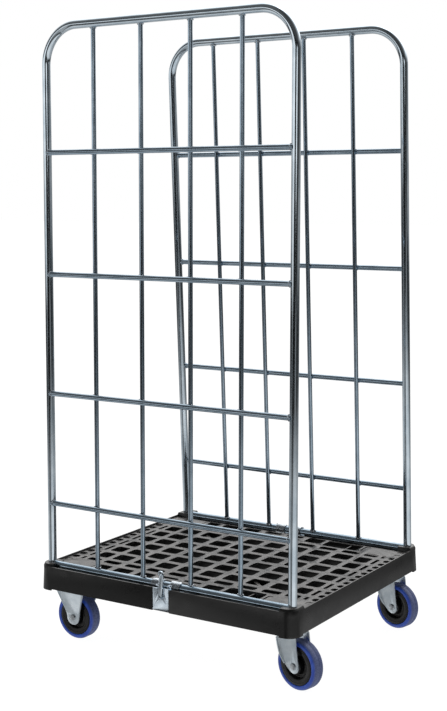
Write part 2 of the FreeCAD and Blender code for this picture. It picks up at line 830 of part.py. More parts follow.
def wheel_tyre():
    """Elastic blue rubber tyre with rounded shoulders, moulded on the rim."""
    half = tyre_half_width
    shoulder = 9.0
    slant = math.cos(math.radians(45))
    points = {}
    for sign in (-1, 1):
        middle = V(wheel_radius - shoulder, sign * (half - shoulder), 0)
        points[sign] = (
            V(rim_radius, sign * (half - 2.5), 0),
            V(rim_radius + 1.5, sign * half, 0),
            V(middle.x, sign * half, 0),
            middle + V(shoulder * slant, sign * shoulder * slant, 0),
            V(wheel_radius, middle.y, 0),
        )
    low = points[-1]
    high = points[1]
    edges = [
        Part.LineSegment(low[0], low[1]),
        Part.LineSegment(low[1], low[2]),
        Part.Arc(low[2], low[3], low[4]),
        Part.LineSegment(low[4], high[4]),
        Part.Arc(high[4], high[3], high[2]),
        Part.LineSegment(high[2], high[1]),
        Part.LineSegment(high[1], high[0]),
        Part.LineSegment(high[0], low[0]),
    ]
    face = Part.Face(Part.Wire([edge.toShape() for edge in edges]))
    tyre = face.revolve(V(0, 0, 0), V(0, 1, 0), 360)
    tyre.translate(V(0, 0, wheel_radius))
    return tyre


def wheel_bearings():
    """Two ring bearings pressed into the hub, running on the axle bolt."""
    rings = []
    for sign in (-1, 1):
        low, high = sorted((sign * (hub_half_length - 10.0), sign * hub_half_length))
        bore = axle_radius + axle_clearance
        ring = turned(((bore, low), (axle_radius + 8.0, low), (axle_radius + 8.0, high), (bore, high)))
        ring.translate(V(0, 0, wheel_radius))
        rings.append(ring)
    return rings


def caster_place(sx, side_name, degrees):
    """Where a caster's own frame stands: at its mount, turned about the upright."""
    sy = -1 if side_name == "front" else 1
    return FreeCAD.Placement(V(sx * mount_x, sy * mount_y, 0), FreeCAD.Rotation(UP, degrees))


def at_caster(shape, place):
    """Copy of a caster piece in its place."""
    moved = shape.copy()
    moved.Placement = place.multiply(moved.Placement)
    return moved


def caster_bolts(place):
    """Four bolts with their nuts above the pad."""
    pieces = []
    head_top = plate_top - plate_thickness
    nut_bottom = plate_top + pad_thickness
    for x in (-bolt_x, bolt_x):
        for y in (-bolt_y, bolt_y):
            shank = rod(bolt_radius, (x, y, head_top), (x, y, nut_bottom + 9.0))
            head = hexagon(13.0, (x, y, head_top), (x, y, head_top - 5.5))
            nut = hexagon(13.0, (x, y, nut_bottom), (x, y, nut_bottom + 6.5))
            nut = nut.cut(rod(bolt_radius, (x, y, nut_bottom - 1), (x, y, nut_bottom + 8)))
            pieces.append(at_caster(shank.fuse(head), place))
            pieces.append(at_caster(nut, place))
    return pieces


def make_wheel(name, x, place):
    """Rim, tyre, bearings, axle bolt and nut of one caster."""
    shift = V(x, 0, 0)
    rings = []
    for ring in wheel_bearings():
        ring.translate(shift)
        rings.append(at_caster(ring, place))
    add(name + "_wheel_bearings", *rings)
    for part_name, solid in (("_wheel_rim", wheel_rim()), ("_wheel_tyre", wheel_tyre())):
        solid.translate(shift)
        add(name + part_name, at_caster(solid, place))
    add(name + "_axle_bolt", at_caster(axle_bolt(x), place))
    add(name + "_axle_nut", at_caster(axle_nut(x), place))


def make_casters():
    """Two fixed casters at the -X end and two swivel casters at the +X end."""
    bolts = []
    balls = []
    for side_name in lean_degrees:
        square = caster_place(1, side_name, 0.0)
        turned_place = caster_place(1, side_name, swivel_rest_degrees)
        name = side_name + "_swivel"
        add(name + "_plate", at_caster(swivel_plate(), square))
        add(name + "_kingpin", at_caster(kingpin(), square))
        add(name + "_fork", at_caster(swivel_fork(), turned_place))
        make_wheel(name, swivel_trail, turned_place)
        balls += [at_caster(ball, square) for ball in swivel_balls()]
        bolts += caster_bolts(square)
        place = caster_place(-1, side_name, 0.0)
        name = side_name + "_fixed"
        add(name + "_fork", at_caster(fixed_fork(), place))
        make_wheel(name, 0.0, place)
        bolts += caster_bolts(place)
    add("caster_bolts", *bolts)
    add("swivel_balls", *balls)


add("base_deck", base_deck())
make_panels()
make_latches()
make_casters()

os.makedirs("parts", exist_ok=True)
ends = Part.makeCompound([nodes["base_deck"], nodes["front_swivel_wheel_tyre"]])
middle_x = ends.optimalBoundingBox(False, False).Center.x
print("middle of the whole at x =", round(middle_x, 4))
for node_name, shape in nodes.items():
    shape.translate(V(-middle_x, 0, 0))
    shape.exportStep(os.path.join("parts", node_name + ".step"))
    print(node_name, shape.isValid(), len(shape.Solids), round(shape.Volume / 1000.0, 1))
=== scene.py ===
import json
import math

import bmesh
import bpy
from mathutils import Matrix, Vector


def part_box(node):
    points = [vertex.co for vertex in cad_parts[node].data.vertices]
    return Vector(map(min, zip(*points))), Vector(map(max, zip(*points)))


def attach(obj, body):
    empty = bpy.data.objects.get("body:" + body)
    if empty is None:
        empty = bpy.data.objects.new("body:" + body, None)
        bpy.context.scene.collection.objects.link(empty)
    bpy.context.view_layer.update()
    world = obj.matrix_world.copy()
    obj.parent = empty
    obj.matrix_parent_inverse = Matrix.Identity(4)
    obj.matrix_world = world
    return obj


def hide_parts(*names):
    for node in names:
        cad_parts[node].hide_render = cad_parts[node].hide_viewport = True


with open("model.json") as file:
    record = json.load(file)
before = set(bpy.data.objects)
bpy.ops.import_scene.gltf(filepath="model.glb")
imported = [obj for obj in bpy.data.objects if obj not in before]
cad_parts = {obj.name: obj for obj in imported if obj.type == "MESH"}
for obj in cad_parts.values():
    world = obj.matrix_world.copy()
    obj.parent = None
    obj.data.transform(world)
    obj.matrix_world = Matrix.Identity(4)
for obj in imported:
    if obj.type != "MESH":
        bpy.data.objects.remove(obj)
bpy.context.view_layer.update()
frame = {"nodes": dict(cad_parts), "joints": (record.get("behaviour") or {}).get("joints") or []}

# ------------------------------------------------------------------ tyres
# Solid elastic rubber, dyed blue and moulded onto the wheel centre. The side walls are a clean
# satin blue. The tread is greyer and duller, finely rubbed across from rolling on concrete.


def linear(hex_colour):
    """sRGB hex to linear RGBA."""
    parts = [int(hex_colour[i:i + 2], 16) / 255 for i in (1, 3, 5)]
    return [c / 12.92 if c <= 0.04045 else ((c + 0.055) / 1.055) ** 2.4 for c in parts] + [1.0]


def add(tree, kind, feeds=None, **settings):
    """Add a node with its settings, and feed its inputs with values or with other nodes' outputs."""
    made = tree.nodes.new(kind)
    for key, value in settings.items():
        setattr(made, key, value)
    for socket, value in (feeds or {}).items():
        if isinstance(value, bpy.types.NodeSocket):
            tree.links.new(value, made.inputs[socket])
        else:
            made.inputs[socket].default_value = value
    return made


def new_material(name):
    """Material with an empty tree, its output and its Object coordinates."""
    made = bpy.data.materials.new(name)
    made.use_nodes = True
    made.node_tree.nodes.clear()
    output = add(made.node_tree, "ShaderNodeOutputMaterial")
    place = add(made.node_tree, "ShaderNodeTexCoord").outputs["Object"]
    return made, made.node_tree, output, place


def turned_mesh(name, profile, centre, axis, steps=96):
    """Closed ring turned from its (radius, height) outline about an axis."""
    axis = Vector(axis).normalized()
    across = axis.orthogonal().normalized()
    up = axis.cross(across)
    mesh = bpy.data.meshes.new(name)
    points = []
    for step in range(steps):
        angle = 2 * math.pi * step / steps
        out = across * math.cos(angle) + up * math.sin(angle)
        points += [Vector(centre) + out * radius + axis * height for radius, height in profile]
    count = len(profile)
    faces = []
    for step in range(steps):
        here = step * count
        after = (step + 1) % steps * count
        for i in range(count):
            j = (i + 1) % count
            faces.append((here + i, after + i, after + j, here + j))
    mesh.from_pydata([list(p) for p in points], [], faces)
    build = bmesh.new()
    build.from_mesh(mesh)
    bmesh.ops.recalc_face_normals(build, faces=build.faces)
    build.to_mesh(mesh)
    build.free()
    piece = bpy.data.objects.new(name, mesh)
    bpy.context.scene.collection.objects.link(piece)
    return piece


def smooth(piece, degrees=32.0):
    """Smooth shading that keeps edges sharper than an angle."""
    piece.data.shade_smooth()
    piece.data.set_sharp_from_angle(angle=math.radians(degrees))


def wheel_place(side, kind):
    """Centre and axle direction of a wheel, from its joint."""
    joint = next(j for j in frame["joints"] if j["child"] == f"{side}_{kind}_wheel")
    return Vector(joint["pos_m"]), Vector(joint["axis"])


sides = ("front", "back")
wheels = [(side, kind) for side in sides for kind in ("swivel", "fixed")]

tyre_rubber, tree, output, place = new_material("blue_elastic_rubber")
tread = add(tree, "ShaderNodeAttribute", attribute_name="tread").outputs["Fac"]
cloud = add(tree, "ShaderNodeTexNoise", {
    "Vector": place, "Scale": 1000 / 18, "Detail": 3.0}).outputs["Fac"]
side_share = add(tree, "ShaderNodeMapRange", {
    "Value": cloud, "From Min": 0.35, "From Max": 0.7}).outputs[0]
side_colour = add(tree, "ShaderNodeMix", {0: side_share, 6: linear("#1f3f9c"), 7: linear("#3053b2")},
                  data_type="RGBA").outputs[2]
# Rub marks about 1 mm long round the wheel and 6 mm across it
across = add(tree, "ShaderNodeMapping", {"Vector": place, "Scale": (1.0, 0.17, 1.0)}).outputs["Vector"]
rub = add(tree, "ShaderNodeTexNoise", {
    "Vector": across, "Scale": 1000 / 1.4, "Detail": 4.0, "Roughness": 0.6})
rub_share = add(tree, "ShaderNodeMapRange", {
    "Value": rub.outputs["Fac"], "From Min": 0.38, "From Max": 0.66}).outputs[0]
tread_colour = add(tree, "ShaderNodeMix", {0: rub_share, 6: linear("#343f68"), 7: linear("#566088")},
                   data_type="RGBA").outputs[2]
colour = add(tree, "ShaderNodeMix", {0: tread, 6: side_colour, 7: tread_colour},
             data_type="RGBA").outputs[2]
gloss = add(tree, "ShaderNodeMapRange", {"Value": tread, "To Min": 0.34, "To Max": 0.58}).outputs[0]
# Moulded skin, with a grain finer than 1 mm
grain = add(tree, "ShaderNodeTexNoise", {
    "Vector": place, "Scale": 1000 / 0.9, "Detail": 2.0}).outputs["Fac"]
relief = add(tree, "ShaderNodeBump", {"Height": grain, "Distance": 0.00012, "Strength": 0.4}).outputs[0]
shader = add(tree, "ShaderNodeBsdfPrincipled", {
    "Base Color": colour, "Roughness": gloss, "IOR": 1.52, "Normal": relief})
tree.links.new(shader.outputs[0], output.inputs[0])

tyre_half = 0.018
tyre_radius = 0.0625
rim_seat = 0.0500
shoulder = 0.0085
tread_edge = 0.0585
tread_blend = 0.003
# Outline of half a tyre, (radius, height): bead, side wall, rounded shoulder, then the mould seam
outer_half = [(rim_seat, tyre_half - 0.0026), (rim_seat + 0.0006, tyre_half - 0.0008),
              (rim_seat + 0.0016, tyre_half - 0.0001), (rim_seat + 0.0026, tyre_half)]
for step in range(9):
    angle = math.radians(90 - 90 * step / 8)
    outer_half.append((tyre_radius - shoulder + shoulder * math.cos(angle),
                       tyre_half - shoulder + shoulder * math.sin(angle)))
outer_half += [(tyre_radius - 0.00002, 0.0012), (tyre_radius - 0.0004, 0.0005)]
tyre_outline = outer_half + [(r, -h) for r, h in reversed(outer_half)]

for side, kind in wheels:
    centre, axle = wheel_place(side, kind)
    tyre = turned_mesh(f"{side}_{kind}_tyre_ring", tyre_outline, centre, axle)
    smooth(tyre, 40)
    worn = tyre.data.attributes.new("tread", "FLOAT", "POINT")
    for vertex in tyre.data.vertices:
        away = vertex.co - centre
        reach = (away - axle * away.dot(axle)).length
        worn.data[vertex.index].value = min(1.0, max(0.0, (reach - tread_edge) / tread_blend))
    tyre.data.materials.append(tyre_rubber)
    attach(tyre, f"{side}_{kind}_wheel")
    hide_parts(f"{side}_{kind}_wheel_tyre")

# ------------------------------------------------------------------ wheel centres
# Injection-moulded black nylon with a satin skin. Each has a broad flat rim, a step down into a
# dished web, and a long hub that the bearings are pressed into.

nylon, tree, output, place = new_material("moulded_black_nylon")
scuff = add(tree, "ShaderNodeTexNoise", {
    "Vector": place, "Scale": 1000 / 2.4, "Detail": 6.0, "Roughness": 0.7})
worn_share = add(tree, "ShaderNodeMapRange", {
    "Value": scuff.outputs["Fac"], "From Min": 0.57, "From Max": 0.8, "To Max": 0.4}).outputs[0]
colour = add(tree, "ShaderNodeMix", {0: worn_share, 6: linear("#070708"), 7: linear("#232427")},
             data_type="RGBA").outputs[2]
patches = add(tree, "ShaderNodeTexNoise", {"Vector": place, "Scale": 1000 / 14}).outputs["Fac"]
gloss = add(tree, "ShaderNodeMapRange", {
    "Value": patches, "From Min": 0.3, "From Max": 0.7, "To Min": 0.24, "To Max": 0.40}).outputs[0]
grain = add(tree, "ShaderNodeTexNoise", {"Vector": place, "Scale": 1000 / 0.7}).outputs["Fac"]
relief = add(tree, "ShaderNodeBump", {"Height": grain, "Distance": 0.00006, "Strength": 0.5}).outputs[0]
shader = add(tree, "ShaderNodeBsdfPrincipled", {
    "Base Color": colour, "Roughness": gloss, "IOR": 1.53, "Normal": relief})
tree.links.new(shader.outputs[0], output.inputs[0])

# Ground steel: bright, with fine marks from the grinding wheel
bearing_steel, tree, output, place = new_material("ground_bearing_steel")
marks = add(tree, "ShaderNodeTexNoise", {"Vector": place, "Scale": 1000 / 3}).outputs["Fac"]
colour = add(tree, "ShaderNodeMix", {0: marks, 6: linear("#8e9194"), 7: linear("#c3c6c8")},
             data_type="RGBA").outputs[2]
gloss = add(tree, "ShaderNodeMapRange", {"Value": marks, "To Min": 0.22, "To Max": 0.38}).outputs[0]
grain = add(tree, "ShaderNodeTexNoise", {"Vector": place, "Scale": 1000 / 0.5}).outputs["Fac"]
relief = add(tree, "ShaderNodeBump", {"Height": grain, "Distance": 0.00003, "Strength": 0.4}).outputs[0]
shader = add(tree, "ShaderNodeBsdfPrincipled", {
    "Base Color": colour, "Metallic": 1.0, "Roughness": gloss, "Normal": relief})
tree.links.new(shader.outputs[0], output.inputs[0])

bearing_radius = 0.014
bearing_bore = 0.00605
bearing_depth = 0.0100
hub_half = 0.023
# Outline of half a wheel centre, (radius, height): hub, dished web, step, then the rim and its groove
centre_half = [
    (bearing_radius, hub_half), (0.0186, hub_half), (0.0196, hub_half - 0.0007),
    (0.0200, hub_half - 0.0020), (0.0212, 0.0105), (0.0222, 0.0083), (0.0240, 0.0070),
    (0.0290, 0.0062), (0.0306, 0.0068), (0.0316, 0.0082), (0.0330, tyre_half - 0.0040),
    (0.0338, tyre_half - 0.0025), (0.0352, tyre_half - 0.0014), (0.0372, tyre_half - 0.0010),
    (0.0420, tyre_half - 0.0010), (0.0426, tyre_half - 0.0015), (0.0434, tyre_half - 0.0015),
    (0.0440, tyre_half - 0.0010), (0.0484, tyre_half - 0.0010), (0.0493, tyre_half - 0.0014),
    (rim_seat, tyre_half - 0.0026),
]
centre_outline = centre_half + [(r, -h) for r, h in reversed(centre_half)]
# Outline of a bearing, (radius, height): inner ring, sunken shield, outer ring
bearing_outline = [
    (bearing_bore, hub_half - 0.0003), (bearing_bore + 0.0020, hub_half - 0.0003),
    (bearing_bore + 0.0023, hub_half - 0.0008), (bearing_radius - 0.0025, hub_half - 0.0008),
    (bearing_radius - 0.0022, hub_half - 0.0002), (bearing_radius, hub_half - 0.0002),
    (bearing_radius, hub_half - bearing_depth), (bearing_bore, hub_half - bearing_depth),
]

for side, kind in wheels:
    centre, axle = wheel_place(side, kind)
    rim = turned_mesh(f"{side}_{kind}_wheel_centre", centre_outline, centre, axle)
    smooth(rim, 25)
    rim.data.materials.append(nylon)
    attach(rim, f"{side}_{kind}_wheel")
    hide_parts(f"{side}_{kind}_wheel_rim")
    for end, sign in (("a", 1), ("b", -1)):
        outline = [(r, h * sign) for r, h in bearing_outline]
        ring = turned_mesh(f"{side}_{kind}_bearing_{end}", outline, centre, axle, 64)
        smooth(ring, 25)
        ring.data.materials.append(bearing_steel)
        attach(ring, f"{side}_{kind}_wheel")
        if end == "a":
            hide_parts(f"{side}_{kind}_wheel_bearings")

# ------------------------------------------------------------------ forks, plates and their fixings
# Steel pressings, zinc plated and pale, with rolled lips down the legs. The swivel forks hang from
# a riveted kingpin, and every plate is held to the dolly by four hexagon bolts.


def merged_copy(node_name, piece_name):
    """Copy of a CAD node with its triangles joined and its flat faces made whole."""
    source = frame["nodes"][node_name]
    mesh = source.data.copy()
    mesh.materials.clear()
    build = bmesh.new()
    build.from_mesh(mesh)
    bmesh.ops.remove_doubles(build, verts=build.verts, dist=0.000015)
    bmesh.ops.dissolve_limit(build, angle_limit=math.radians(0.6), verts=build.verts, edges=build.edges)
    build.to_mesh(mesh)
    build.free()
    for name in [a.name for a in mesh.attributes if a.name.startswith("custom_normal")]:
        mesh.attributes.remove(mesh.attributes[name])
    piece = bpy.data.objects.new(piece_name, mesh)
    bpy.context.scene.collection.objects.link(piece)
    return piece


def soften(piece, width_mm, segments=2, degrees=32.0):
    """Round every edge by a small radius."""
    bevel = piece.modifiers.new("rounded edges", "BEVEL")
    bevel.width = width_mm / 1000.0
    bevel.segments = segments
    bevel.limit_method = "ANGLE"
    bevel.angle_limit = math.radians(degrees)
    bevel.harden_normals = False
    graph = bpy.context.evaluated_depsgraph_get()
    piece.data = bpy.data.meshes.new_from_object(piece.evaluated_get(graph), depsgraph=graph)
    piece.modifiers.clear()
    smooth(piece, degrees)


def softened_node(node_name, piece_name, width_mm, material, body):
    """Stand a softened copy in for a CAD node."""
    piece = merged_copy(node_name, piece_name)
    soften(piece, width_mm)
    piece.data.materials.clear()
    piece.data.materials.append(material)
    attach(piece, body)
    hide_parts(node_name)
    return piece


def zinc(name, colours, cloud_mm, rough, metallic=1.0, specks=0.7, grain_strength=0.3):
    """Zinc plate: clouds in the passivation, a fine grain and specks. Colours: light, dark, dull."""
    light, dark, dull_colour = colours
    material, tree, output, place = new_material(name)
    clouds = add(tree, "ShaderNodeTexNoise", {
        "Vector": place, "Scale": 1000 / cloud_mm, "Detail": 4.0, "Roughness": 0.6}).outputs["Fac"]
    share = add(tree, "ShaderNodeMapRange", {
        "Value": clouds, "From Min": 0.32, "From Max": 0.68}).outputs[0]
    base = add(tree, "ShaderNodeMix", {0: share, 6: linear(dark), 7: linear(light)},
               data_type="RGBA").outputs[2]
    dull = add(tree, "ShaderNodeTexNoise", {
        "Vector": place, "Scale": 1000 / 3, "Detail": 5.0, "Roughness": 0.65}).outputs["Fac"]
    dull_share = add(tree, "ShaderNodeMapRange", {
        "Value": dull, "From Min": 0.60, "From Max": 0.78, "To Max": specks}).outputs[0]
    colour = add(tree, "ShaderNodeMix", {0: dull_share, 6: base, 7: linear(dull_colour)},
                 data_type="RGBA").outputs[2]
    gloss = add(tree, "ShaderNodeMapRange", {
        "Value": clouds, "From Min": 0.3, "From Max": 0.7,
        "To Min": rough[1], "To Max": rough[0]}).outputs[0]
    grain = add(tree, "ShaderNodeTexNoise", {
        "Vector": place, "Scale": 1000 / 1.1, "Detail": 3.0}).outputs["Fac"]
    relief = add(tree, "ShaderNodeBump", {
        "Height": grain, "Distance": 0.00004, "Strength": grain_strength}).outputs[0]
    shader = add(tree, "ShaderNodeBsdfPrincipled", {
        "Base Color": colour, "Metallic": metallic, "Roughness": gloss, "Normal": relief})
    tree.links.new(shader.outputs[0], output.inputs[0])
    return material


# Satin plate whose passivation scatters some of the light, and duller plate on the bolts
fork_zinc = zinc("zinc_plated_pressing", ("#dde6ec", "#c2ced6", "#8f9aa2"), 24.0, (0.26, 0.40),
                 metallic=0.75)
bolt_zinc = zinc("zinc_plated_bolt", ("#c9ced2", "#a3a9ae", "#75787b"), 9.0, (0.28, 0.42))

for side in sides:
    swivel_body = f"{side}_caster_swivel"
    softened_node(f"{side}_swivel_fork", f"{side}_swivel_fork_pressing", 0.5, fork_zinc,
                  swivel_body)
    softened_node(f"{side}_fixed_fork", f"{side}_fixed_fork_pressing", 0.5, fork_zinc,
                  "dolly")
    softened_node(f"{side}_swivel_plate", f"{side}_swivel_top_plate", 0.5, fork_zinc,
                  "dolly")
    softened_node(f"{side}_swivel_kingpin", f"{side}_kingpin_rivet", 0.6, bolt_zinc,
                  "dolly")
    for kind, body in (("swivel", swivel_body), ("fixed", "dolly")):
        softened_node(f"{side}_{kind}_axle_bolt", f"{side}_{kind}_axle_screw", 0.5, bolt_zinc,
                      body)
        softened_node(f"{side}_{kind}_axle_nut", f"{side}_{kind}_axle_lock_nut", 0.5, bolt_zinc,
                      body)
softened_node("caster_bolts", "caster_plate_bolts", 0.5, bolt_zinc, "dolly")
softened_node("swivel_balls", "swivel_ball_race", 0.1, bearing_steel, "dolly")

# ------------------------------------------------------------------ dolly
# One large moulding in black high-density polyethylene, with a satin skin. Its upper faces are a
# little dusty and rubbed, and lightened with a painted sheen where the perforated deck catches the light
# at a low angle.

polyethylene, tree, output, place = new_material("moulded_black_polyethylene")
normal = add(tree, "ShaderNodeNewGeometry").outputs["Normal"]
upward = add(tree, "ShaderNodeSeparateXYZ", {"Vector": normal}).outputs["Z"]
# Dust and rub marks in patches of a few centimetres, with a painted sheen, lighten only what faces up
patch = add(tree, "ShaderNodeTexNoise", {
    "Vector": place, "Scale": 1000 / 45, "Detail": 6.0, "Roughness": 0.65}).outputs["Fac"]
rubbed_and_sheen_patches = add(tree, "ShaderNodeMapRange", {
    "Value": patch, "From Min": 0.38, "From Max": 0.70}).outputs[0]
flat = add(tree, "ShaderNodeMapRange", {"Value": upward, "From Min": 0.6, "To Max": 0.62}).outputs[0]
dust_and_sheen = add(tree, "ShaderNodeMath", {0: flat, 1: rubbed_and_sheen_patches}, operation="MULTIPLY").outputs[0]
# Light grey on upward faces: partly dust, partly painted sheen standing in for low-angle light
colour = add(tree, "ShaderNodeMix", {0: dust_and_sheen, 6: linear("#0d0d0d"), 7: linear("#7b7876")},
             data_type="RGBA").outputs[2]
# Fine scratches from sliding loads, about 17 mm long and 1 mm wide
drawn = add(tree, "ShaderNodeMapping", {"Vector": place, "Scale": (1.0, 14.0, 6.0)}).outputs["Vector"]
scratch = add(tree, "ShaderNodeTexNoise", {
    "Vector": drawn, "Scale": 60.0, "Detail": 4.0, "Roughness": 0.7})
extra = add(tree, "ShaderNodeMapRange", {
    "Value": scratch.outputs["Fac"], "From Min": 0.5, "From Max": 0.75, "To Max": 0.10}).outputs[0]
gloss = add(tree, "ShaderNodeMapRange", {"Value": rubbed_and_sheen_patches, "To Min": 0.27, "To Max": 0.40}).outputs[0]
rough = add(tree, "ShaderNodeMath", {0: gloss, 1: extra}, operation="ADD").outputs[0]
grain = add(tree, "ShaderNodeTexNoise", {
    "Vector": place, "Scale": 1000 / 1.6, "Detail": 3.0}).outputs["Fac"]
relief = add(tree, "ShaderNodeBump", {"Height": grain, "Distance": 0.0001, "Strength": 0.3}).outputs[0]
shader = add(tree, "ShaderNodeBsdfPrincipled", {
    "Base Color": colour, "Roughness": rough, "IOR": 1.46, "Normal": relief})
tree.links.new(shader.outputs[0], output.inputs[0])
softened_node("base_deck", "dolly_moulding", 0.8, polyethylene, "dolly")

# ------------------------------------------------------------------ latches
# Each latch is a bright zinc-plated pressing let into the skirt, a flat turning lever with a ball
# end, and the rivet that the lever turns on.

latch_zinc = zinc("bright_zinc_latch", ("#d5dfe7", "#b9c6d1", "#8c9399"), 40.0, (0.16, 0.24),
                  specks=0.15, grain_strength=0.12)
for side in sides:
    for node_name, piece_name, width, body in (
            ("latch_plate", "latch_pressing", 0.4, "dolly"),
            ("latch_rivet", "latch_pivot_rivet", 0.4, "dolly"),
            ("latch_lever", "latch_turn_lever", 0.5, f"{side}_lever")):
        softened_node(f"{side}_{node_name}", f"{side}_{piece_name}", width, latch_zinc, body)

# ------------------------------------------------------------------ side panels
# Round steel tube, cut, coped and welded, then zinc plated bright. A bent hoop makes the posts and
# the top, with a bottom rail, four thin uprights on the load side and four crossbars outside.

# The posts are plated brightest, the thin bars a little duller and greyer; the darker, greyer colour on
# the bars and rail is painted shade
hoop_zinc = zinc("bright_zinc_hoop_tube", ("#d6e1e9", "#b9c7d1", "#7f8c96"), 60.0, (0.07, 0.13),
                 specks=0.25, grain_strength=0.10)
# Darker copy of the same zinc: its colour is painted shade on the bars and rail
bar_zinc_painted_darker = zinc("bar_tube_zinc_with_painted_shade", ("#aabac7", "#8fa1af", "#57646f"), 60.0, (0.10, 0.18),
                specks=0.4, grain_strength=0.15)


def geometry_tree(name, inputs):
    """Empty Geometry Nodes tree with its named inputs."""
    tree = bpy.data.node_groups.new(name, "GeometryNodeTree")
    tree.interface.new_socket("Geometry", in_out="INPUT", socket_type="NodeSocketGeometry")
    for label, kind in inputs.items():
        tree.interface.new_socket(label, in_out="INPUT", socket_type=kind)
    tree.interface.new_socket("Geometry", in_out="OUTPUT", socket_type="NodeSocketGeometry")
    return tree, add(tree, "NodeGroupInput").outputs


def close_tree(tree, shape, material):
    """End a tree in real, smooth geometry with its material."""
    real = add(tree, "GeometryNodeRealizeInstances", {"Geometry": shape})
    even = add(tree, "GeometryNodeSetShadeSmooth", {"Geometry": real.outputs[0]})
    done = add(tree, "GeometryNodeSetMaterial", {"Geometry": even.outputs[0], "Material": material})
    add(tree, "NodeGroupOutput", {"Geometry": done.outputs[0]})


def grown(name, points, edges, tree, values, sizes=None):
    """Plain mesh that a tree makes from a line or a cloud of points."""
    seed = bpy.data.meshes.new(name)
    seed.from_pydata([list(p) for p in points], edges, [])
    if sizes:
        seed.attributes.new("size", "FLOAT", "POINT").data.foreach_set("value", sizes)
    piece = bpy.data.objects.new(name, seed)
    bpy.context.scene.collection.objects.link(piece)
    modifier = piece.modifiers.new(name, "NODES")
    modifier.node_group = tree
    for item in tree.interface.items_tree:
        if item.in_out == "INPUT" and item.name in values:
            modifier[item.identifier] = values[item.name]
    graph = bpy.context.evaluated_depsgraph_get()
    piece.data = bpy.data.meshes.new_from_object(piece.evaluated_get(graph), depsgraph=graph)
    piece.modifiers.clear()
    return piece


tube_tree, given = geometry_tree("round_tube_along_a_line", {
    "Radius": "NodeSocketFloat", "Sides": "NodeSocketInt", "Material": "NodeSocketMaterial",
})
line = add(tube_tree, "GeometryNodeMeshToCurve", {"Mesh": given["Geometry"]})
ring = add(tube_tree, "GeometryNodeCurvePrimitiveCircle", {
    "Resolution": given["Sides"], "Radius": given["Radius"],
})
swept = add(tube_tree, "GeometryNodeCurveToMesh", {
    "Curve": line.outputs[0], "Profile Curve": ring.outputs[0], "Fill Caps": True,
})
close_tree(tube_tree, swept.outputs[0], given["Material"])

bead_tree, given = geometry_tree("weld_beads_on_points", {
    "Radius": "NodeSocketFloat", "Seed": "NodeSocketInt", "Material": "NodeSocketMaterial",
})
bead = add(bead_tree, "GeometryNodeMeshIcoSphere", {"Radius": given["Radius"], "Subdivisions": 2})
size = add(bead_tree, "GeometryNodeInputNamedAttribute", {"Name": "size"}, data_type="FLOAT")
turn = add(bead_tree, "FunctionNodeRandomValue", {
    "Min": (0, 0, 0), "Max": (6.28, 6.28, 6.28), "Seed": given["Seed"],
}, data_type="FLOAT_VECTOR")
drops = add(bead_tree, "GeometryNodeInstanceOnPoints", {
    "Points": given["Geometry"], "Instance": bead.outputs["Mesh"], "Rotation": turn.outputs[0],
    "Scale": size.outputs[0],
})
lumpy = add(bead_tree, "GeometryNodeRealizeInstances", {"Geometry": drops.outputs[0]})
ripple = add(bead_tree, "ShaderNodeTexNoise", {"Scale": 260.0, "Detail": 2.0})
centred = add(bead_tree, "ShaderNodeVectorMath", {0: ripple.outputs["Color"], 1: (0.5, 0.5, 0.5)},
              operation="SUBTRACT")
moved = add(bead_tree, "ShaderNodeVectorMath", {0: centred.outputs[0], "Scale": 0.0022},
            operation="SCALE")
uneven = add(bead_tree, "GeometryNodeSetPosition", {
    "Geometry": lumpy.outputs[0], "Offset": moved.outputs[0],
})
close_tree(bead_tree, uneven.outputs[0], given["Material"])

post_radius = 0.011
upright_radius = 0.006
crossbar_radius = 0.007
bend_radius = 0.098
bend_steps = 24
upright_in = 0.005
crossbar_out = 0.006
foot_rise = 0.0004
bar_bite = 0.004
upright_bite = 0.006
bead_radius = 0.0026
# Welds: where the drops lie from the middle of each tube or crossing
foot_weld = (0.0068, 0.0058)
foot_weld_height = post_radius * 0.86
foot_weld_wave = 0.0012
crossing_weld = 0.0056
crossing_depth = -0.0004
end_weld = 0.0072
end_weld_depth = post_radius * 0.93
rail_weld = 0.0105
rail_weld_wrap = 0.0065
weld_zinc = zinc("zinc_plated_weld", ("#dfe3e6", "#a7aeb5", "#7a8087"), 4.0, (0.24, 0.40))


def panel_frame(side):
    """Matrix of a panel: X along it, Y inwards, Z up its lean, from the centre of its bottom rail."""
    lift = Vector(next(j for j in frame["joints"] if j["child"] == f"{side}_panel")["axis"])
    low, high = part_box(f"{side}_bottom_rail")
    along = Vector((1, 0, 0)) if side == "front" else Vector((-1, 0, 0))
    inward = lift.cross(along)
    turn = Matrix((along, inward, lift)).transposed().to_4x4()
    return Matrix.Translation((low + high) / 2) @ turn


def panel_place(stand, node_name):
    """Middle of a CAD node in the panel's own frame."""
    low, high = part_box(node_name)
    return stand.inverted() @ ((low + high) / 2)


def panel_tube(side, name, path, radius, tube_sides, finish, node_name):
    """Tube along a path of the panel, standing in for a CAD node."""
    stand = panel_frame(side)
    chain = [(i, i + 1) for i in range(len(path) - 1)]
    piece = grown(f"{side}_{name}", [stand @ p for p in path], chain, tube_tree,
                  {"Radius": radius, "Sides": tube_sides, "Material": finish})
    smooth(piece, 40)
    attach(piece, f"{side}_panel")
    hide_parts(f"{side}_{node_name}")


def straight(start, end, steps=12):
    """Path of a straight bar, in equal steps."""
    return [start.lerp(end, i / steps) for i in range(steps + 1)]


def ring_of(count):
    """Equal angles round a circle."""
    return [2 * math.pi * step / count for step in range(count)]


